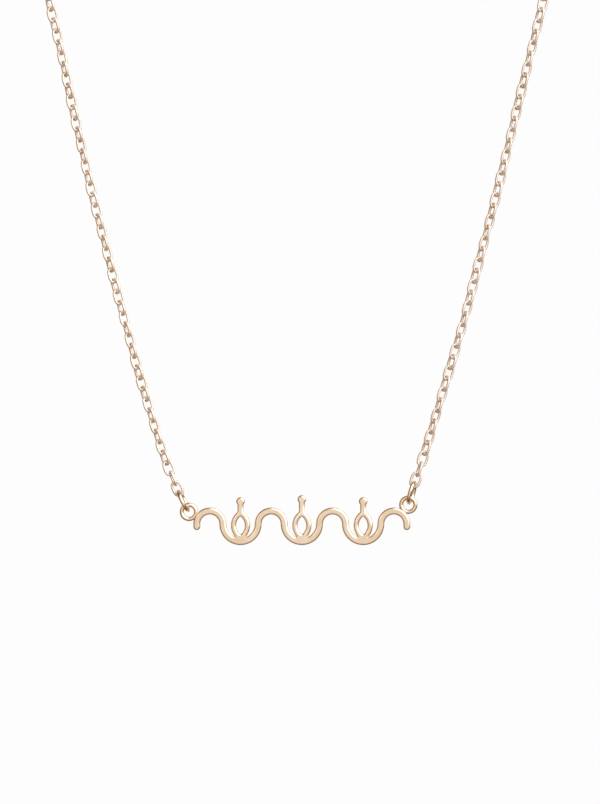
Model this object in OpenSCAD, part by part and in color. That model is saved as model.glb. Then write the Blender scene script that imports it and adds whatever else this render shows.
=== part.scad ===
// Nameplate necklace: a pierced plate that hangs from a fine cable chain, closed at the nape.
// Millimetres, +Z up, the front faces -Y. The origin is the nape, in the middle of the closure.

/* [Plate] */
// Thickness of the plate, front to back
plate_t = 0.9; // [0.6:0.1:1.4]
// Width of the border's band
band_w = 1.05; // [0.8:0.05:1.2]
// Number of crests along the border
crests = 4; // [3:1:5]
// Centre-line radius of a crest
crest_r = 1.95; // [1.8:0.05:2.3]
// Centre-line radius of a trough
trough_r = 2.65; // [2.4:0.05:3]
// Straight drop below the end crests
leg_drop = 0.4; // [0.2:0.1:1.2]
// Height of the border's middle line below the eyelet line
band_drop = 2.5; // [2:0.1:3]

/* [Buds] */
// Outer width of a leaf
leaf_w = 2.9; // [2.4:0.1:3.2]
// Outer height of a leaf
leaf_h = 4.6; // [4:0.1:5]
// Width of a leaf's band
leaf_band = 0.8; // [0.6:0.05:0.9]
// Depth that a leaf's foot enters the border
leaf_bite = 0.4; // [0.3:0.05:0.5]
// Width of the stem above a leaf
stem_w = 0.9; // [0.6:0.05:1]
// Height of the stem above a leaf, to the bud's middle
stem_h = 1.3; // [1:0.1:2]
// Extra height of the middle stem
stem_rise = 0.3; // [0:0.1:0.8]
// Diameter of a bud
bud_d = 1.3; // [1.1:0.1:1.6]

/* [Eyelets] */
// Outer diameter of an eyelet
eyelet_d = 2.78; // [2.6:0.05:3.2]
// Thickness of an eyelet's wire
eyelet_wire = 0.64; // [0.5:0.02:0.7]
// Depth that an eyelet is soldered into its crest
eyelet_bite = 0.25; // [0.2:0.05:0.4]
// Place of the left eyelet, in degrees up the end crest
eyelet_angle_left = 30; // [15:1:45]
// Place of the right eyelet, in degrees up the end crest
eyelet_angle_right = 53; // [30:1:60]

/* [Jump rings] */
// Outer diameter of a jump ring
ring_d = 3.74; // [3.5:0.05:4.5]
// Thickness of a jump ring's wire
ring_wire = 0.6; // [0.4:0.01:0.65]
// Lean of the left jump ring, in degrees
ring_lean_left = 27; // [15:1:30]
// Lean of the right jump ring, in degrees
ring_lean_right = 16; // [10:1:30]
// Turn of the left jump ring away from edge-on, in degrees
ring_turn_left = 6; // [0:1:15]
// Turn of the right jump ring away from edge-on, in degrees
ring_turn_right = 11; // [0:1:15]

/* [Chain] */
// Outer length of a link
link_l = 2.59; // [2.4:0.01:3]
// Outer width of a link
link_w = 1.7; // [1.6:0.05:2]
// Thickness of a link's wire
link_wire = 0.38; // [0.3:0.01:0.4]
// Play between two pieces that are looped together
play = 0.15; // [0.1:0.01:0.16]

/* [Closure] */
// Outer diameter of the clasp
clasp_d = 5.4; // [5:0.1:7]
// Thickness of the clasp's tube
clasp_tube = 0.8; // [0.6:0.05:1]
// Outer diameter of the clasp's eye
eye_d = 2.4; // [2.2:0.1:3]
// Thickness of the eye's wire
eye_wire = 0.5; // [0.4:0.05:0.55]
// Depth that the eye is soldered into the clasp
eye_bite = 0.3; // [0.2:0.05:0.4]
// Outer diameter of the end ring
end_ring_d = 3.7; // [3.5:0.1:4.5]
// Thickness of the end ring's wire
end_ring_wire = 0.5; // [0.4:0.05:0.55]

/* [Drape] */
// Depth of the loop, nape to plate
reach = 88; // [80:1:100]
// Height of the nape above the eyelet line
drop = 127; // [120:1:135]
// Twist of a strand away from square, in degrees
strand_twist = 33; // [0:1:45]
// Unevenness of the twist from link to link, in degrees
twist_play = 8; // [0:1:10]
// Number of links over which the twist builds up from each end of a strand
twist_links = 3; // [3:1:20]

/* [Hidden] */
gold = "#E6C79C";
$fn = 40;

LEFT = -1;
RIGHT = 1;

// The plate's own frame: its middle on the eyelet line.
plate_place = [0, -reach, -drop];
wave_step = 2 * crest_r + 2 * trough_r;
end_crest_x = (crests - 1) * wave_step / 2;
eyelet_reach = crest_r + band_w / 2 + eyelet_d / 2 - eyelet_bite;
eyelet_hole_r = eyelet_d / 2 - eyelet_wire;
ring_r = (ring_d - ring_wire) / 2;

// The longest step from link to link that leaves the play between them.
link_step = link_l - 2 * link_wire - play;

// A lens of half width a and half height b is the meeting of two circles.
leaf_lobe_r = (pow(leaf_h, 2) / leaf_w + leaf_w) / 4;
leaf_lobe_x = leaf_lobe_r - leaf_w / 2;
leaf_z = leaf_h / 2 - trough_r + band_w / 2 - leaf_bite;

// The closure runs along X at the nape, from the left chain to the right one.
eye_from_chain = eye_d / 2 - eye_wire - play / 2;
clasp_from_eye = (eye_d + clasp_d) / 2 - eye_bite;
end_ring_r = (end_ring_d - end_ring_wire) / 2;
end_ring_from_clasp = clasp_d / 2 - clasp_tube - play - end_ring_wire / 2 + end_ring_r;
chain_from_end_ring = end_ring_r - end_ring_wire / 2 - play / 2;
closure_l = eye_from_chain + clasp_from_eye + end_ring_from_clasp + chain_from_end_ring;
eye_x = eye_from_chain - closure_l / 2;
clasp_x = eye_x + clasp_from_eye;
end_ring_x = clasp_x + end_ring_from_clasp;

// Each strand's route, plate to nape: x beyond the eyelet, share of the eyelet's own x that is
// kept, share of the depth behind the plate, share of the height above the eyelet line.
ROUTE_LEFT = [
    [3.8, 1, 0, 0.063], [6.9, 1, 0, 0.142], [9.6, 1, 0, 0.22], [12.2, 1, 0, 0.299],
    [14.7, 1, 0, 0.378], [17, 1, 0, 0.457], [19.1, 1, 0, 0.535], [21.3, 1, 0, 0.614],
    [24.3, 0.9, 0.06, 0.69], [28.5, 0.8, 0.17, 0.76], [33.1, 0.7, 0.32, 0.825],
    [34.7, 0.6, 0.5, 0.88], [33, 0.5, 0.68, 0.925], [27.3, 0.35, 0.84, 0.96],
    [16, 0.2, 0.96, 0.985]];
ROUTE_RIGHT = [
    [2.4, 1, 0, 0.063], [5.4, 1, 0, 0.142], [8.3, 1, 0, 0.22], [10.9, 1, 0, 0.299],
    [13.5, 1, 0, 0.378], [15.9, 1, 0, 0.457], [18.3, 1, 0, 0.535], [20.7, 1, 0, 0.614],
    [24, 0.9, 0.06, 0.69], [28.6, 0.8, 0.17, 0.76], [33.5, 0.7, 0.32, 0.825],
    [35.2, 0.6, 0.5, 0.88], [33.6, 0.5, 0.68, 0.925], [27.8, 0.35, 0.84, 0.96],
    [16.3, 0.2, 0.96, 0.985]];
route_steps = 8;

// Degrees from link to link along the wave of the uneven twist, a step that soon repeats nowhere.
uneven_step = 137;

function side_value(side, left, right) = side == LEFT ? left : right;

// The middle of an eyelet, and the unit vector along which its jump ring leans.
function eyelet_place(side) =
    let (a = side_value(side, eyelet_angle_left, eyelet_angle_right))
    plate_place + [side * (end_crest_x + eyelet_reach * cos(a)), 0, eyelet_reach * sin(a) - band_drop];
function lean(side) = side_value(side, ring_lean_left, ring_lean_right);
function turn(side) = side_value(side, ring_turn_left, ring_turn_right);
function lean_axis(side) = [side * sin(lean(side)), 0, cos(lean(side))];

// The ring hangs in the eyelet's hole, and the chain in the ring, with play at each contact.
function ring_place(side) =
    eyelet_place(side) + lean_axis(side) * (eyelet_hole_r - play - ring_wire / 2 + ring_r);
function chain_start(side) =
    ring_place(side) + lean_axis(side) * (ring_r - ring_wire / 2 - play / 2);
function chain_end(side) = [side * closure_l / 2, 0, 0];

// The points that the route is drawn through, from the jump ring to the closure. The first and
// last ones lie off the chain and only steer its two ends.
function route_point(side, p) =
    [side * (p[0] + p[1] * abs(eyelet_place(side).x)), -reach * (1 - p[2]), -drop * (1 - p[3])];
function knots(side) = [
    ring_place(side),
    chain_start(side),
    for (p = side_value(side, ROUTE_LEFT, ROUTE_RIGHT)) route_point(side, p),
    chain_end(side),
    chain_end(-side)];

// A smooth curve: the span from b to c leaves along the chord a to c and arrives along b to d.
function span(a, b, c, d, u) =
    (2 * b + (c - a) * u + (2 * a - 5 * b + 4 * c - d) * u * u + (3 * b - a - 3 * c + d) * u * u * u) / 2;
function curve(k) = [
    for (i = [1 : len(k) - 3], j = [0 : route_steps - 1])
        span(k[i - 1], k[i], k[i + 1], k[i + 2], j / route_steps),
    k[len(k) - 2]];

// Each sample of the curve with its distance along it, so that links can be set out evenly.
function measured(c) = [
    for (i = 0, s = 0; i < len(c); i = i + 1, s = s + (i < len(c) ? norm(c[i] - c[i - 1]) : 0))
        [s, c[i]]];
function along(m, s) = [for (axis = [0 : 2]) lookup(s, [for (e = m) [e[0], e[1][axis]]])];

// The outward side of the strand turns from the front, past the shoulder, to the back.
function outward(p) =
    let (a = -90 + 180 * (p.y + reach) / reach)
    [abs(cos(a)), sin(a), 0];

// A flat half ring, above or below the middle line.
module bow(r, way) {
    outer = r + band_w / 2;
    intersection() {
        difference() {
            circle(r = outer);
            circle(r = r - band_w / 2);
        }
        translate([-2 * outer, way > 0 ? 0 : -2 * outer])
            square([4 * outer, 2 * outer]);
    }
}

// The wave of the border, with its two short end legs.
module border() {
    for (i = [0 : crests - 1])
        translate([(i - (crests - 1) / 2) * wave_step, 0])
            bow(crest_r, 1);
    for (i = [0 : crests - 2])
        translate([(i - (crests - 2) / 2) * wave_step, 0])
            bow(trough_r, -1);
    for (side = [LEFT, RIGHT])
        translate([side * (end_crest_x + crest_r), -leg_drop]) {
            circle(d = band_w);
            translate([-band_w / 2, 0])
                square([band_w, leg_drop]);
        }
}

module lens(r) {
    intersection() {
        translate([-leaf_lobe_x, 0]) circle(r = r);
        translate([leaf_lobe_x, 0]) circle(r = r);
    }
}

// An open leaf standing in a trough, with a stem and a round bud above it.
module leaf(rise) {
    translate([0, leaf_z]) {
        difference() {
            lens(leaf_lobe_r);
            lens(leaf_lobe_r - leaf_band);
        }
        translate([-stem_w / 2, leaf_h / 2 - leaf_band])
            square([stem_w, stem_h + rise + leaf_band]);
        translate([0, leaf_h / 2 + stem_h + rise])
            circle(d = bud_d);
    }
}

module leaves() {
    for (i = [0 : crests - 2]) {
        place = i - (crests - 2) / 2;
        translate([place * wave_step, 0])
            leaf(abs(place) < 1 ? stem_rise : 0);
    }
}

// A ring of round wire about the X axis.
module wire_ring(d, wire) {
    rotate([0, 90, 0])
        rotate_extrude()
            translate([(d - wire) / 2, 0])
                circle(d = wire);
}

module nameplate() {
    color(gold) {
        translate(plate_place + [0, plate_t / 2, -band_drop])
            rotate([90, 0, 0])
                linear_extrude(plate_t) {
                    border();
                    leaves();
                }
        for (side = [LEFT, RIGHT])
            translate(eyelet_place(side))
                rotate([0, 0, 90])
                    wire_ring(eyelet_d, eyelet_wire);
    }
}

module jump_ring(side) {
    color(gold)
        translate(ring_place(side))
            rotate([0, side * lean(side), 0])
                rotate([0, 0, -turn(side)])
                    wire_ring(ring_d, ring_wire);
}

// One link in the YZ plane: two half rings joined by two straight wires.
module link() {
    bend_r = (link_w - link_wire) / 2;
    straight = link_l - link_w;
    for (end = [0, 180])
        rotate([end, 0, 0])
            translate([0, 0, straight / 2])
                rotate([90, 0, 90])
                    rotate_extrude(angle = 180)
                        translate([bend_r, 0])
                            circle(d = link_wire);
    for (side = [LEFT, RIGHT])
        translate([0, side * bend_r, -straight / 2])
            cylinder(h = straight, d = link_wire);
}

// The fewest links that span a run and end square to the closure. That is an even number on the
// left, where the eye stands upright, and an odd one on the right, where the end ring lies flat.
function link_count(side, run) =
    let (odd = side_value(side, 0, 1))
    2 * ceil((run / link_step - odd) / 2) + odd;

// The strand hangs square to the rings at its two ends, and slanting and a little uneven between.
function twist(i, count) =
    min(1, min(i, count - 1 - i) / twist_links)
    * (strand_twist + twist_play * sin(uneven_step * i));

// Links alternate by a quarter turn.
module chain(side) {
    m = measured(curve(knots(side)));
    run = m[len(m) - 1][0];
    count = link_count(side, run);
    pitch = (run - link_step) / (count - 1);
    color(gold)
        for (i = [0 : count - 1]) {
            s = link_step / 2 + i * pitch;
            place = along(m, s);
            way = along(m, s + pitch / 4) - along(m, s - pitch / 4);
            polar = atan2(norm([way.x, way.y]), way.z);
            azimuth = atan2(way.y, way.x);
            out = outward(place);
            across = [cos(azimuth) * cos(polar), sin(azimuth) * cos(polar), -sin(polar)];
            beside = [-sin(azimuth), cos(azimuth), 0];
            translate(place)
                rotate([0, polar, azimuth])
                    rotate([0, 0, atan2(out * beside, out * across) + 90 * i + twist(i, count)])
                        link();
        }
}

module clasp() {
    color(gold) {
        translate([clasp_x, 0, 0])
            rotate([0, 0, 90])
                wire_ring(clasp_d, clasp_tube);
        translate([eye_x, 0, 0])
            rotate([0, 0, 90])
                wire_ring(eye_d, eye_wire);
    }
}

module end_ring() {
    color(gold)
        translate([end_ring_x, 0, 0])
            rotate([0, 90, 0])
                wire_ring(end_ring_d, end_ring_wire);
}

nameplate();
jump_ring(LEFT);  // jump_ring_left
jump_ring(RIGHT);  // jump_ring_right
chain(LEFT);  // chain_left
chain(RIGHT);  // chain_right
clasp();
end_ring();
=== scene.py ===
"""Nameplate necklace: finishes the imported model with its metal, its stage and its camera."""
import math

import bmesh
import bpy
import numpy as np
from bpy.props import FloatProperty, FloatVectorProperty, IntProperty, PointerProperty
from bpy.types import Operator, Panel, PropertyGroup
from mathutils import Matrix, Vector


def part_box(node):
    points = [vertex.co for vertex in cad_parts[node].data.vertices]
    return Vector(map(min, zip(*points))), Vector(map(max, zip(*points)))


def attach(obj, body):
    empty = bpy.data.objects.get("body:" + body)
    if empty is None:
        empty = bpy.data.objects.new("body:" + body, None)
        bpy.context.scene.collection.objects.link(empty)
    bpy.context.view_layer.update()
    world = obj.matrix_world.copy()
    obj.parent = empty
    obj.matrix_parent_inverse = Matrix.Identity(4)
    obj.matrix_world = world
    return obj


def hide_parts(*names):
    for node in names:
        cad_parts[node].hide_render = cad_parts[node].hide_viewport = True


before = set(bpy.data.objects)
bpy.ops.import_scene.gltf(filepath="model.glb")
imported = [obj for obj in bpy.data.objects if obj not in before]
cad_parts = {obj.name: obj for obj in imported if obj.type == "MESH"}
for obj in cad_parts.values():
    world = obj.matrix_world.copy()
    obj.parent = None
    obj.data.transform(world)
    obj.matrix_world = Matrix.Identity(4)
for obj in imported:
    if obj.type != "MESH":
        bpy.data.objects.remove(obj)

bl_info = {
    "name": "Nameplate Necklace",
    "version": (1, 0, 0),
    "blender": (4, 5, 0),
    "location": "3D View > Sidebar > Necklace",
    "description": "Makes the pierced plate, its rings, the cable chain, the closure and the stage",
    "category": "Object",
}

MM = 0.001
# Points nearer to each other than this are one point.
MERGE = 0.0002 * MM
# Edges that turn more than this stay sharp.
SHARP_ANGLE = math.radians(34)
# Faces that turn less than this lie in one plane.
COPLANAR_ANGLE = math.radians(0.5)
# How far a face looks along Y where it is on round wire, and not on a wall or on a flat front.
ROUND_WIRE = (0.01, 0.9999)
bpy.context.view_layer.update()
SIDES = ("left", "right")


# Sizes and colours that can be changed

class PlateSettings(PropertyGroup):
    """The pierced plate and its two eyelets."""
    rim_width: FloatProperty(
        name="Rim Width", description="Width of the rounded rim along each outline",
        default=0.29 * MM, unit="LENGTH", precision=5)
    rim_steps: IntProperty(
        name="Rim Steps", description="Number of faces across the rounded rim", default=4, min=1)
    face_colour: FloatVectorProperty(
        name="Face Colour", description="Colour of the satin front and back",
        default=(0.725, 0.58, 0.425), subtype="COLOR", min=0, max=1)
    rim_colour: FloatVectorProperty(
        name="Rim Colour", description="Colour of the polished rims, walls and eyelets",
        default=(0.75, 0.558, 0.385), subtype="COLOR", min=0, max=1)
    face_roughness: FloatProperty(
        name="Face Roughness", description="Roughness of the satin faces",
        default=0.3, subtype="FACTOR", min=0, max=1)
    rim_roughness: FloatProperty(
        name="Rim Roughness", description="Roughness of the polished rims",
        default=0.16, subtype="FACTOR", min=0, max=1)


class WireSettings(PropertyGroup):
    """The rings, the closure and the links, all made of round wire."""
    link_sides: IntProperty(
        name="Link Sides", description="Number of faces around a link's wire", default=6, min=4)
    bend_steps: IntProperty(
        name="Bend Steps", description="Number of faces along a link's half ring", default=5, min=3)
    ring_sides: IntProperty(
        name="Ring Sides", description="Number of faces around a ring's wire", default=16, min=6)
    ring_steps: IntProperty(
        name="Ring Steps", description="Number of faces along a ring", default=64, min=12)
    seam_depth: FloatProperty(
        name="Seam Depth", description="Depth of the closed seam of a jump ring",
        default=0.018 * MM, unit="LENGTH", precision=6)
    wire_colour: FloatVectorProperty(
        name="Wire Colour", description="Colour of the rings and the closure",
        default=(0.74, 0.572, 0.42), subtype="COLOR", min=0, max=1)
    chain_colour: FloatVectorProperty(
        name="Chain Colour", description="Colour of the links",
        default=(0.805, 0.662, 0.524), subtype="COLOR", min=0, max=1)
    wire_roughness: FloatProperty(
        name="Wire Roughness", description="Roughness of the polished wire",
        default=0.14, subtype="FACTOR", min=0, max=1)
    chain_roughness: FloatProperty(
        name="Chain Roughness", description="Roughness of the links",
        default=0.6, subtype="FACTOR", min=0, max=1)


class StageSettings(PropertyGroup):
    """The floor, the light and the camera."""
    view_centre: FloatVectorProperty(
        name="View Centre", description="Point in the plate's plane at the middle of the picture",
        default=(-0.27 * MM, -88 * MM, -111.2 * MM), subtype="TRANSLATION")
    view_height: FloatProperty(
        name="View Height", description="Height of the picture in the plate's plane",
        default=120.6 * MM, unit="LENGTH")
    view_distance: FloatProperty(
        name="View Distance", description="Distance from the camera to the plate's plane",
        default=1.0, unit="LENGTH")
    floor_radius: FloatProperty(
        name="Floor Radius", description="Radius of the round floor", default=0.38, unit="LENGTH")
    floor_height: FloatProperty(
        name="Floor Height", description="Height of the floor, below the nape",
        default=-0.2, unit="LENGTH")
    floor_sides: IntProperty(
        name="Floor Sides", description="Number of straight sides around the floor", default=96,
        min=3)
    floor_roughness: FloatProperty(
        name="Floor Roughness", description="Roughness of the floor",
        default=0.7, subtype="FACTOR", min=0, max=1)
    floor_colour: FloatVectorProperty(
        name="Floor Colour", description="Colour of the floor",
        default=(0.86, 0.82, 0.75), subtype="COLOR", min=0, max=1)
    room_white: FloatProperty(
        name="Room White", description="Brightness of the room behind the necklace",
        default=0.982, min=0)


# Meshes

def merged_copy(node):
    """A mesh of its own with a CAD node's shape, its loose triangles merged into closed shells."""
    mesh = bmesh.new()
    mesh.from_mesh(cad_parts[node].data)
    bmesh.ops.remove_doubles(mesh, verts=mesh.verts, dist=MERGE)
    return mesh


def shells(mesh):
    """The faces of each closed shell, from the lowest shell to the highest."""
    waiting, found = set(mesh.faces), []
    for first in mesh.faces:
        if first not in waiting:
            continue
        waiting.discard(first)
        shell, edge_of_shell = [first], [first]
        while edge_of_shell:
            for edge in edge_of_shell.pop().edges:
                for face in edge.link_faces:
                    if face in waiting:
                        waiting.discard(face)
                        shell.append(face)
                        edge_of_shell.append(face)
        found.append(shell)
    return sorted(found, key=lambda shell: min(face.calc_center_median().z for face in shell))


def own_frame(faces):
    """The middle of a shell and its axes, from the widest spread to the narrowest."""
    middles = np.array([face.calc_center_median() for face in faces])
    areas = np.array([face.calc_area() for face in faces])
    centre = np.average(middles, axis=0, weights=areas)
    spread = np.cov((middles - centre).T, aweights=areas)
    axes = np.linalg.eigh(spread)[1].T[::-1]
    axes[0] = np.cross(axes[1], axes[2])
    return Vector(centre), [Vector(axis) for axis in axes]


def placing(centre, x, y, z):
    """The matrix that carries a shape from the origin to its own place and turn."""
    turned = Matrix((x, y, z)).transposed().to_4x4()
    return Matrix.Translation(centre) @ turned


def smooth_with_sharp_edges(mesh):
    """Shades a mesh smooth, but for its sharp edges."""
    for face in mesh.faces:
        face.smooth = True
    for edge in mesh.edges:
        edge.smooth = edge.calc_face_angle(0) < SHARP_ANGLE


def finish_piece(name, mesh, materials, body, nodes):
    """Turns a finished mesh into a piece that stands for its CAD nodes and rides on a body."""
    data = bpy.data.meshes.new(name)
    mesh.to_mesh(data)
    mesh.free()
    for material in materials:
        data.materials.append(material)
    piece = bpy.data.objects.new(name, data)
    bpy.context.scene.collection.objects.link(piece)
    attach(piece, body)
    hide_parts(*nodes)
    return piece


def edges_at(verts):
    """The edges at some points, each of them once and always in the same order."""
    return list(dict.fromkeys(edge for vert in verts for edge in vert.link_edges))


def ring_of_wire(mesh, place, radius, wire, sides, steps, seam_depth):
    """Adds a ring about its own Z axis, closed by a fine seam where its wire meets."""
    profile = placing((radius, 0, 0), (1, 0, 0), (0, 0, 1), (0, -1, 0))
    circle = bmesh.ops.create_circle(mesh, segments=sides, radius=wire / 2, matrix=profile)
    seam = [vert.co.copy() for vert in circle["verts"]]
    bmesh.ops.spin(
        mesh, geom=circle["verts"] + edges_at(circle["verts"]), cent=(0, 0, 0), axis=(0, 0, 1),
        angle=math.tau, steps=steps, use_merge=True)
    for vert in mesh.verts:
        if any((vert.co - point).length < MERGE for point in seam):
            vert.co += (Vector((radius, 0, 0)) - vert.co).normalized() * seam_depth
    bmesh.ops.recalc_face_normals(mesh, faces=mesh.faces)
    bmesh.ops.transform(mesh, matrix=place, verts=mesh.verts)


def cable_link(length, width, wire, sides, steps):
    """One link in the YZ plane: two half rings joined by two straight wires."""
    mesh = bmesh.new()
    bend, straight = (width - wire) / 2, length - width
    circle = bmesh.ops.create_circle(
        mesh, segments=sides, radius=wire / 2 * math.sqrt(1 / math.cos(math.pi / sides)),
        matrix=Matrix.Translation((0, bend, straight / 2)))
    verts = circle["verts"]
    edges = edges_at(verts)
    for way in (1, -1):
        half = bmesh.ops.spin(
            mesh, geom=verts + edges, cent=(0, 0, way * straight / 2), axis=(1, 0, 0),
            angle=math.pi, steps=steps)
        edges = [part for part in half["geom_last"] if isinstance(part, bmesh.types.BMEdge)]
        run = bmesh.ops.extrude_edge_only(mesh, edges=edges)
        verts = [part for part in run["geom"] if isinstance(part, bmesh.types.BMVert)]
        edges = [part for part in run["geom"] if isinstance(part, bmesh.types.BMEdge)]
        bmesh.ops.translate(mesh, vec=(0, 0, -way * straight), verts=verts)
    bmesh.ops.remove_doubles(mesh, verts=mesh.verts, dist=MERGE)
    bmesh.ops.recalc_face_normals(mesh, faces=mesh.faces)
    for face in mesh.faces:
        face.smooth = True
    return mesh


# Finishes

# Of each finish: how far its tone drifts, how much rougher it is where it is worn, and how fine
# and how high the strokes in its surface are.
SATIN = {"tone": 0.085, "wear": 0.08, "brushing": 8000, "bump": 0.0006 * MM}
POLISHED = {"tone": 0.05, "wear": 0.12, "brushing": 12000, "bump": 0.0002 * MM}
# What a paler alloy has more of: by how much its hue turns, its value rises and its purity drops.
HUE_TURN, VALUE_RISE, PURITY_DROP = -0.03, 0.7, -2.0
SAME_HUE, SAME_VALUE, SAME_PURITY = 0.5, 1.0, 1.0
# The fine hairlines of wear, against the soft smudges.
HAIRLINE_FINENESS = 9.0
# How far a single link's tone is off the others', and the seed that its draws start from.
LINK_TONE = 0.06
LINK_SEED = 7


def add_node(tree, kind, **values):
    """A node with its properties, and with its inputs by name."""
    made = tree.nodes.new(kind)
    for name, value in values.items():
        if hasattr(made, name):
            setattr(made, name, value)
        else:
            made.inputs[name.replace("_", " ")].default_value = value
    return made


def new_group(name, inputs, outputs):
    """A shader node group with named inputs and outputs, and the nodes that carry them."""
    tree = bpy.data.node_groups.new(name, "ShaderNodeTree")
    for label, kind, default in inputs:
        socket = tree.interface.new_socket(label, in_out="INPUT", socket_type=kind)
        if default is not None:
            socket.default_value = default
    for label, kind in outputs:
        tree.interface.new_socket(label, in_out="OUTPUT", socket_type=kind)
    return tree, tree.nodes.new("NodeGroupInput"), tree.nodes.new("NodeGroupOutput")


def steered(tree, factor, start):
    """A node that gives a start plus a factor times what goes in."""
    made = add_node(tree, "ShaderNodeMath", operation="MULTIPLY_ADD")
    made.inputs[1].default_value = factor
    made.inputs[2].default_value = start
    return made


def alloy_tone_group():
    """Colour that drifts a little between a paler and a redder patch of the alloy."""
    tree, given, result = new_group(
        "Alloy Tone",
        [("Vector", "NodeSocketVector", None), ("Colour", "NodeSocketColor", None),
         ("Scale", "NodeSocketFloat", 300.0), ("Amount", "NodeSocketFloat", 0.1),
         ("Shift", "NodeSocketFloat", 0.0)],
        [("Colour", "NodeSocketColor")])
    cloud = add_node(tree, "ShaderNodeTexNoise", Detail=3.0, Roughness=0.6)
    spread = add_node(tree, "ShaderNodeMapRange", From_Min=0.3, From_Max=0.7, To_Min=-1.0)
    scaled = add_node(tree, "ShaderNodeMath", operation="MULTIPLY")
    shifted = add_node(tree, "ShaderNodeMath", operation="ADD")
    hue = steered(tree, HUE_TURN, SAME_HUE)
    value = steered(tree, VALUE_RISE, SAME_VALUE)
    purity = steered(tree, PURITY_DROP, SAME_PURITY)
    mixed = add_node(tree, "ShaderNodeHueSaturation")
    wire = tree.links.new
    wire(given.outputs["Vector"], cloud.inputs["Vector"])
    wire(given.outputs["Scale"], cloud.inputs["Scale"])
    wire(cloud.outputs["Fac"], spread.inputs["Value"])
    wire(spread.outputs["Result"], scaled.inputs[0])
    wire(given.outputs["Amount"], scaled.inputs[1])
    wire(scaled.outputs[0], shifted.inputs[0])
    wire(given.outputs["Shift"], shifted.inputs[1])
    wire(shifted.outputs[0], hue.inputs[0])
    wire(shifted.outputs[0], value.inputs[0])
    wire(shifted.outputs[0], purity.inputs[0])
    wire(hue.outputs[0], mixed.inputs["Hue"])
    wire(value.outputs[0], mixed.inputs["Value"])
    wire(purity.outputs[0], mixed.inputs["Saturation"])
    wire(given.outputs["Colour"], mixed.inputs["Color"])
    wire(mixed.outputs["Color"], result.inputs["Colour"])
    return tree


def handling_wear_group():
    """Roughness that rises in soft smudges and in fine hairlines of wear."""
    tree, given, result = new_group(
        "Handling Wear",
        [("Vector", "NodeSocketVector", None), ("Scale", "NodeSocketFloat", 400.0),
         ("Polished", "NodeSocketFloat", 0.12), ("Worn", "NodeSocketFloat", 0.3)],
        [("Roughness", "NodeSocketFloat"), ("Wear", "NodeSocketFloat")])
    smudge = add_node(tree, "ShaderNodeTexNoise", Detail=4.0, Roughness=0.65)
    hairs = add_node(tree, "ShaderNodeTexNoise", Detail=2.0, Distortion=1.2)
    finer = add_node(tree, "ShaderNodeMath", operation="MULTIPLY")
    finer.inputs[1].default_value = HAIRLINE_FINENESS
    fold = add_node(tree, "ShaderNodeMapRange", From_Min=0.42, From_Max=0.72)
    thin = add_node(tree, "ShaderNodeMapRange", From_Min=0.6, From_Max=0.75, To_Max=0.5)
    both = add_node(tree, "ShaderNodeMath", operation="MAXIMUM")
    mix = add_node(tree, "ShaderNodeMapRange")
    wire = tree.links.new
    wire(given.outputs["Vector"], smudge.inputs["Vector"])
    wire(given.outputs["Vector"], hairs.inputs["Vector"])
    wire(given.outputs["Scale"], smudge.inputs["Scale"])
    wire(given.outputs["Scale"], finer.inputs[0])
    wire(finer.outputs[0], hairs.inputs["Scale"])
    wire(smudge.outputs["Fac"], fold.inputs["Value"])
    wire(hairs.outputs["Fac"], thin.inputs["Value"])
    wire(fold.outputs["Result"], both.inputs[0])
    wire(thin.outputs["Result"], both.inputs[1])
    wire(both.outputs[0], mix.inputs["Value"])
    wire(given.outputs["Polished"], mix.inputs["To Min"])
    wire(given.outputs["Worn"], mix.inputs["To Max"])
    wire(mix.outputs["Result"], result.inputs["Roughness"])
    wire(both.outputs[0], result.inputs["Wear"])
    return tree


def fine_brushing_group():
    """Height of the fine strokes that a satin finish leaves, long along X and short along Z."""
    tree, given, result = new_group(
        "Fine Brushing",
        [("Vector", "NodeSocketVector", None), ("Scale", "NodeSocketFloat", 2500.0),
         ("Length", "NodeSocketFloat", 0.06), ("Turn", "NodeSocketFloat", 0.4)],
        [("Height", "NodeSocketFloat")])
    tilt = add_node(tree, "ShaderNodeVectorRotate", rotation_type="Y_AXIS")
    parts = add_node(tree, "ShaderNodeSeparateXYZ")
    stretched = add_node(tree, "ShaderNodeMath", operation="MULTIPLY")
    joined = add_node(tree, "ShaderNodeCombineXYZ")
    strokes = add_node(tree, "ShaderNodeTexNoise", Detail=3.0, Roughness=0.55)
    wire = tree.links.new
    wire(given.outputs["Vector"], tilt.inputs["Vector"])
    wire(given.outputs["Turn"], tilt.inputs["Angle"])
    wire(tilt.outputs["Vector"], parts.inputs["Vector"])
    wire(parts.outputs["X"], stretched.inputs[0])
    wire(given.outputs["Length"], stretched.inputs[1])
    wire(stretched.outputs[0], joined.inputs["X"])
    wire(parts.outputs["Y"], joined.inputs["Y"])
    wire(parts.outputs["Z"], joined.inputs["Z"])
    wire(joined.outputs["Vector"], strokes.inputs["Vector"])
    wire(given.outputs["Scale"], strokes.inputs["Scale"])
    wire(strokes.outputs["Fac"], result.inputs["Height"])
    return tree


def shared(group):
    """The node group of that maker's name, built at its first use."""
    name = group.__name__.removesuffix("_group").replace("_", " ").title()
    return bpy.data.node_groups.get(name) or group()


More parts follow.
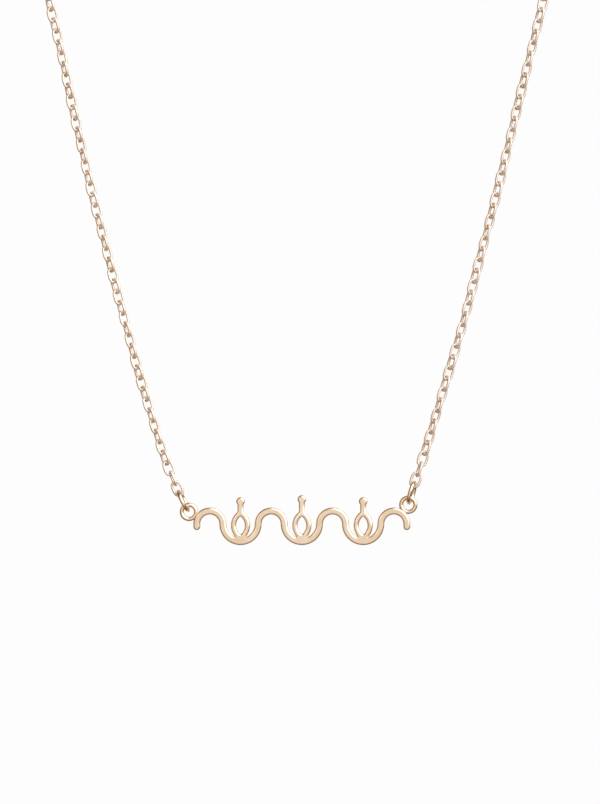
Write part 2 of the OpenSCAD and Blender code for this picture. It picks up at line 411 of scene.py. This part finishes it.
def gold(name, colour, roughness, tone, wear, brushing, bump, per_link=False):
    """A gold finish: drifting tone, wear in its gloss, and fine strokes in its surface."""
    material = bpy.data.materials.new(name)
    material.use_nodes = True
    tree = material.node_tree
    shader = tree.nodes["Principled BSDF"]
    shader.inputs["Metallic"].default_value = 1.0
    place = add_node(tree, "ShaderNodeTexCoord").outputs["Object"]
    alloy = add_node(tree, "ShaderNodeGroup", node_tree=shared(alloy_tone_group))
    alloy.inputs["Colour"].default_value = (*colour, 1)
    alloy.inputs["Amount"].default_value = tone
    worn = add_node(tree, "ShaderNodeGroup", node_tree=shared(handling_wear_group))
    worn.inputs["Polished"].default_value = roughness
    worn.inputs["Worn"].default_value = roughness + wear
    strokes = add_node(tree, "ShaderNodeGroup", node_tree=shared(fine_brushing_group))
    strokes.inputs["Scale"].default_value = brushing
    raised = add_node(tree, "ShaderNodeBump", Strength=1.0, Distance=bump)
    wire = tree.links.new
    for group in (alloy, worn, strokes):
        wire(place, group.inputs["Vector"])
    if per_link:
        own = add_node(tree, "ShaderNodeAttribute", attribute_name="tone")
        wire(own.outputs["Fac"], alloy.inputs["Shift"])
    wire(alloy.outputs["Colour"], shader.inputs["Base Color"])
    wire(worn.outputs["Roughness"], shader.inputs["Roughness"])
    wire(strokes.outputs["Height"], raised.inputs["Height"])
    wire(raised.outputs["Normal"], shader.inputs["Normal"])
    return material


def wire_gold():
    """The polished gold that the rings and the closure share."""
    settings = bpy.context.scene.necklace_wire
    return bpy.data.materials.get("Polished Wire") or gold(
        "Polished Wire", settings.wire_colour, settings.wire_roughness, **POLISHED)


# Pieces

class NECKLACE_OT_plate(Operator):
    """Make the pierced plate, with satin faces and rounded, polished rims"""
    bl_idname = "necklace.make_plate"
    bl_label = "Pierced Plate"

    def execute(self, context):
        settings = context.scene.necklace_plate
        lowest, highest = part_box("nameplate")
        solid = merged_copy("nameplate")
        eyelets = [self.eyelet(solid, way) for way in (-1, 1)]
        mesh = self.sheet(solid, lowest.y)
        bmesh.ops.dissolve_limit(
            mesh, angle_limit=COPLANAR_ANGLE, verts=mesh.verts, edges=mesh.edges)
        rim = settings.rim_width
        front = mesh.faces[:]
        bmesh.ops.translate(mesh, vec=(0, rim, 0), verts=mesh.verts)
        grown = bmesh.ops.extrude_face_region(mesh, geom=front)["geom"]
        bmesh.ops.translate(
            mesh, vec=(0, highest.y - lowest.y - 2 * rim, 0),
            verts=[part for part in grown if isinstance(part, bmesh.types.BMVert)])
        back = [part for part in grown if isinstance(part, bmesh.types.BMFace)]
        bmesh.ops.recalc_face_normals(mesh, faces=mesh.faces)
        for cap, way in ((front, -1), (back, 1)):
            self.round_rim(mesh, cap, way, rim, settings.rim_steps)
        smooth_with_sharp_edges(mesh)
        for face in mesh.faces:
            face.material_index = 0 if face in front or face in back else 1
            face.smooth = face.material_index == 1
        for eyelet in eyelets:
            mesh.from_mesh(eyelet)
            bpy.data.meshes.remove(eyelet)
        faces = gold("Satin Face", settings.face_colour, settings.face_roughness, **SATIN)
        rims = gold("Polished Rim", settings.rim_colour, settings.rim_roughness, **POLISHED)
        finish_piece(
            "pierced_plate", mesh, [faces, rims], "plate", ["nameplate"])
        return {"FINISHED"}

    @staticmethod
    def round_rim(mesh, cap, way, rim, steps):
        """Raises a flat face on a rim that rounds off a quarter turn."""
        for step in range(steps):
            low, high = (step * math.pi / 2 / steps, (step + 1) * math.pi / 2 / steps)
            bmesh.ops.inset_region(
                mesh, faces=cap, thickness=rim * (math.cos(low) - math.cos(high)),
                use_even_offset=False)
            bmesh.ops.translate(
                mesh, vec=(0, way * rim * (math.sin(high) - math.sin(low)), 0),
                verts=list({vert for face in cap for vert in face.verts}))

    @staticmethod
    def sheet(solid, front):
        """The flat front of the CAD plate, without its walls and eyelets."""
        sides = [
            face for face in solid.faces
            if max(abs(vert.co.y - front) for vert in face.verts) > MERGE]
        bmesh.ops.delete(solid, geom=sides, context="FACES")
        return solid

    @staticmethod
    def eyelet(solid, way):
        """The ring at one end of the CAD plate, fitted to the circle of its foremost points."""
        settings = bpy.context.scene.necklace_wire
        lowest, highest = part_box("nameplate")
        middle = (lowest.y + highest.y) / 2
        heights = {
            vert: abs(vert.co.y - middle) for face in solid.faces for vert in face.verts
            if face.calc_center_median().x * way > 0
            and ROUND_WIRE[0] < abs(face.normal.y) < ROUND_WIRE[1]}
        inside = [height for height in heights.values() if height < highest.y - middle - MERGE]
        top = [vert.co for vert, height in heights.items() if abs(height - max(inside)) < MERGE]
        sums = np.array([(2 * point.x, 2 * point.z, 1) for point in top])
        squares = np.array([point.x ** 2 + point.z ** 2 for point in top])
        x, z, rest = np.linalg.lstsq(sums, squares, rcond=None)[0]
        place = placing((x, middle, z), (1, 0, 0), (0, 0, 1), (0, -1, 0))
        mesh = bmesh.new()
        ring_of_wire(
            mesh, place, math.sqrt(rest + x * x + z * z), 2 * max(inside),
            settings.ring_sides, settings.ring_steps, 0)
        for face in mesh.faces:
            face.material_index = 1
            face.smooth = True
        data = bpy.data.meshes.new("eyelet")
        mesh.to_mesh(data)
        mesh.free()
        return data


class NECKLACE_OT_jump_rings(Operator):
    """Make the two jump rings that join the eyelets to the chain"""
    bl_idname = "necklace.make_jump_rings"
    bl_label = "Jump Rings"

    def execute(self, context):
        for side in SIDES:
            make_ring(f"jump_ring_{side}", f"jump_ring_{side}_wire")
        return {"FINISHED"}


def make_ring(node, name):
    """Makes a ring of wire where a CAD node has its ring."""
    settings = bpy.context.scene.necklace_wire
    solid = merged_copy(node)
    centre, (x, y, z) = own_frame(solid.faces)
    reach = [((vert.co - centre) - (vert.co - centre).dot(z) * z).length for vert in solid.verts]
    solid.free()
    outer, inner = max(reach), min(reach)
    mesh = bmesh.new()
    ring_of_wire(
        mesh, placing(centre, x, y, z), (outer + inner) / 2, outer - inner,
        settings.ring_sides, settings.ring_steps, settings.seam_depth)
    for face in mesh.faces:
        face.smooth = True
    finish_piece(name, mesh, [wire_gold()], "strand", [node])


class NECKLACE_OT_chain(Operator):
    """Make the links of both strands, each where its CAD link is"""
    bl_idname = "necklace.make_chain"
    bl_label = "Cable Chain"

    def execute(self, context):
        settings = context.scene.necklace_wire
        metal = gold(
            "Chain Wire", settings.chain_colour, settings.chain_roughness, **POLISHED,
            per_link=True)
        draw = np.random.default_rng(LINK_SEED)
        for side in SIDES:
            solid = merged_copy(f"chain_{side}")
            mesh = bmesh.new()
            tone = mesh.verts.layers.float.new("tone")
            link = None
            for shell in shells(solid):
                centre, (x, y, z) = own_frame(shell)
                if link is None:
                    link = self.link_like(shell, centre, (x, y, z), settings)
                done = len(mesh.verts)
                mesh.from_mesh(link)
                mesh.verts.ensure_lookup_table()
                own = mesh.verts[done:]
                shade = draw.uniform(-LINK_TONE, LINK_TONE)
                for vert in own:
                    vert[tone] = shade
                bmesh.ops.transform(mesh, matrix=placing(centre, -z, y, x), verts=own)
            solid.free()
            bpy.data.meshes.remove(link)
            finish_piece(
                f"cable_chain_{side}", mesh, [metal], "strand", [f"chain_{side}"])
        return {"FINISHED"}

    @staticmethod
    def link_like(shell, centre, axes, settings):
        """A link with the length, width and wire of a CAD link."""
        corners = {vert for face in shell for vert in face.verts}
        spans = [[(vert.co - centre).dot(axis) for vert in corners] for axis in axes]
        length, width, wire = (max(span) - min(span) for span in spans)
        shape = cable_link(length, width, wire, settings.link_sides, settings.bend_steps)
        data = bpy.data.meshes.new("link")
        shape.to_mesh(data)
        shape.free()
        return data


class NECKLACE_OT_closure(Operator):
    """Make the closed clasp with its eye, and the end ring that it holds"""
    bl_idname = "necklace.make_closure"
    bl_label = "Closure"

    def execute(self, context):
        make_ring("end_ring", "end_ring_wire")
        mesh = merged_copy("clasp")
        smooth_with_sharp_edges(mesh)
        finish_piece("closed_clasp", mesh, [wire_gold()], "strand", ["clasp"])
        return {"FINISHED"}


# Stage

def make_floor(settings):
    """A pale, round floor below the necklace."""
    mesh = bmesh.new()
    bmesh.ops.create_circle(
        mesh, cap_ends=True, segments=settings.floor_sides, radius=settings.floor_radius,
        matrix=Matrix.Translation((0, settings.view_centre[1] / 2, settings.floor_height)))
    data = bpy.data.meshes.new("floor")
    mesh.to_mesh(data)
    mesh.free()
    material = bpy.data.materials.new("Pale Floor")
    material.use_nodes = True
    shader = material.node_tree.nodes["Principled BSDF"]
    shader.inputs["Base Color"].default_value = (*settings.floor_colour, 1)
    shader.inputs["Roughness"].default_value = settings.floor_roughness
    data.materials.append(material)
    floor = bpy.data.objects.new("floor", data)
    floor.visible_glossy = False
    bpy.context.scene.collection.objects.link(floor)


# The way out of the plate's front.
FRONT_WAY = (0, -1, 0)
# The room's colours, by the angle from that way, from behind the plate to in front of it.
ROOM_STRENGTH = 2.0
ROOM = [
    (180, (0.9, 0.88, 0.86)), (140, (0.84, 0.8, 0.76)), (118, (0.5, 0.39, 0.3)),
    (100, (0.2, 0.13, 0.08)), (76, (0.2, 0.13, 0.08)), (60, (0.48, 0.39, 0.31)),
    (45, (0.84, 0.78, 0.73)), (27, (1.04, 1.0, 0.97)), (0, (1.08, 1.08, 1.07))]
# The bright, cool patch of the room above and to the right, between two cosines of its angle.
GLOW_WAY = Vector((0.64, -0.5, 0.62)).normalized()
GLOW_EDGES = (0.7, 0.915)
GLOW = (1.47, 1.75, 2.17)
# Of each softbox: its place, its width and its power in watts.
SOFTBOXES = {
    "Key Softbox": ((0.32, -0.5, 0.28), 0.2, 0.3),
    "Fill Softbox": ((-0.3, -0.75, 0.05), 0.16, 0.12)}
SOFTBOX_COLOUR = (1.0, 0.98, 0.96)
SENSOR_WIDTH = 36
NEAREST_SEEN = 0.01


def make_room(settings):
    """A white room: pale in front and behind, warm and darker at the sides, bright above."""
    world = bpy.data.worlds.new("Studio")
    bpy.context.scene.world = world
    world.use_nodes = True
    tree = world.node_tree
    tree.nodes.clear()
    way = add_node(tree, "ShaderNodeTexCoord").outputs["Generated"]
    ahead = add_node(tree, "ShaderNodeVectorMath", operation="DOT_PRODUCT")
    ahead.inputs[1].default_value = FRONT_WAY
    span = add_node(tree, "ShaderNodeMapRange", From_Min=-1.0)
    around = add_node(tree, "ShaderNodeValToRGB")
    ramp = around.color_ramp
    while len(ramp.elements) < len(ROOM):
        ramp.elements.new(0.5)
    for element, (turn, colour) in zip(ramp.elements, ROOM):
        element.position = (math.cos(math.radians(turn)) + 1) / 2
        element.color = (*(part / ROOM_STRENGTH for part in colour), 1)
    above = add_node(tree, "ShaderNodeVectorMath", operation="DOT_PRODUCT")
    above.inputs[1].default_value = GLOW_WAY
    glow = add_node(
        tree, "ShaderNodeMapRange", interpolation_type="SMOOTHSTEP",
        From_Min=GLOW_EDGES[0], From_Max=GLOW_EDGES[1])
    lift = add_node(tree, "ShaderNodeVectorMath", operation="MULTIPLY_ADD")
    lift.inputs[1].default_value = GLOW
    light = add_node(tree, "ShaderNodeBackground", Strength=ROOM_STRENGTH)
    seen = add_node(tree, "ShaderNodeBackground")
    seen.inputs["Color"].default_value = (*[settings.room_white] * 3, 1)
    ray = add_node(tree, "ShaderNodeLightPath")
    mix = add_node(tree, "ShaderNodeMixShader")
    result = add_node(tree, "ShaderNodeOutputWorld")
    wire = tree.links.new
    wire(way, ahead.inputs[0])
    wire(way, above.inputs[0])
    wire(ahead.outputs["Value"], span.inputs["Value"])
    wire(span.outputs["Result"], around.inputs["Fac"])
    wire(above.outputs["Value"], glow.inputs["Value"])
    wire(around.outputs["Color"], lift.inputs[2])
    wire(glow.outputs["Result"], lift.inputs[0])
    wire(lift.outputs["Vector"], light.inputs["Color"])
    wire(ray.outputs["Is Camera Ray"], mix.inputs["Fac"])
    wire(light.outputs[0], mix.inputs[1])
    wire(seen.outputs[0], mix.inputs[2])
    wire(mix.outputs[0], result.inputs["Surface"])


def make_softbox(name, target, place, size, power):
    """A square lamp turned to the target, that lights and isn't seen."""
    data = bpy.data.lights.new(name, "AREA")
    data.shape = "SQUARE"
    data.size = size
    data.energy = power
    data.color = SOFTBOX_COLOUR
    lamp = bpy.data.objects.new(name, data)
    lamp.location = place
    lamp.rotation_euler = (Vector(target) - Vector(place)).to_track_quat("-Z", "Y").to_euler()
    lamp.visible_camera = False
    bpy.context.scene.collection.objects.link(lamp)


def make_camera(settings):
    """A camera straight in front of the plate."""
    data = bpy.data.cameras.new("Camera")
    data.sensor_width = SENSOR_WIDTH
    data.lens = data.sensor_width * settings.view_distance / settings.view_height
    data.clip_start = NEAREST_SEEN
    camera = bpy.data.objects.new("Camera", data)
    camera.location = Vector(settings.view_centre) - Vector((0, settings.view_distance, 0))
    camera.rotation_euler = (math.radians(90), 0, 0)
    bpy.context.scene.collection.objects.link(camera)
    bpy.context.scene.camera = camera


class NECKLACE_OT_stage(Operator):
    """Make the pale floor, the soft studio light and the camera"""
    bl_idname = "necklace.make_stage"
    bl_label = "Stage"

    def execute(self, context):
        settings = context.scene.necklace_stage
        make_camera(settings)
        make_floor(settings)
        make_room(settings)
        for name, (place, size, power) in SOFTBOXES.items():
            make_softbox(name, settings.view_centre, place, size, power)
        context.scene.view_settings.view_transform = "Standard"
        return {"FINISHED"}


class NECKLACE_PT_panel(Panel):
    """Lists the pieces of the necklace and their sizes"""
    bl_idname = "NECKLACE_PT_panel"
    bl_label = "Necklace"
    bl_space_type = "VIEW_3D"
    bl_region_type = "UI"
    bl_category = "Necklace"

    def draw(self, context):
        for operator in OPERATORS:
            self.layout.operator(operator.bl_idname)
        for name in SETTINGS:
            group = getattr(context.scene, name)
            box = self.layout.box()
            for setting in group.__annotations__:
                box.prop(group, setting)


OPERATORS = (
    NECKLACE_OT_plate, NECKLACE_OT_jump_rings, NECKLACE_OT_chain, NECKLACE_OT_closure,
    NECKLACE_OT_stage)
SETTINGS = {
    "necklace_plate": PlateSettings, "necklace_wire": WireSettings,
    "necklace_stage": StageSettings}


def register():
    for kind in (*SETTINGS.values(), *OPERATORS, NECKLACE_PT_panel):
        bpy.utils.register_class(kind)
    for name, kind in SETTINGS.items():
        setattr(bpy.types.Scene, name, PointerProperty(type=kind))


def unregister():
    for name in SETTINGS:
        delattr(bpy.types.Scene, name)
    for kind in (NECKLACE_PT_panel, *reversed(OPERATORS), *SETTINGS.values()):
        bpy.utils.unregister_class(kind)


def main():
    register()
    bpy.ops.necklace.make_plate()
    bpy.ops.necklace.make_jump_rings()
    bpy.ops.necklace.make_chain()
    bpy.ops.necklace.make_closure()
    bpy.ops.necklace.make_stage()


if __name__ == "__main__":
    main()
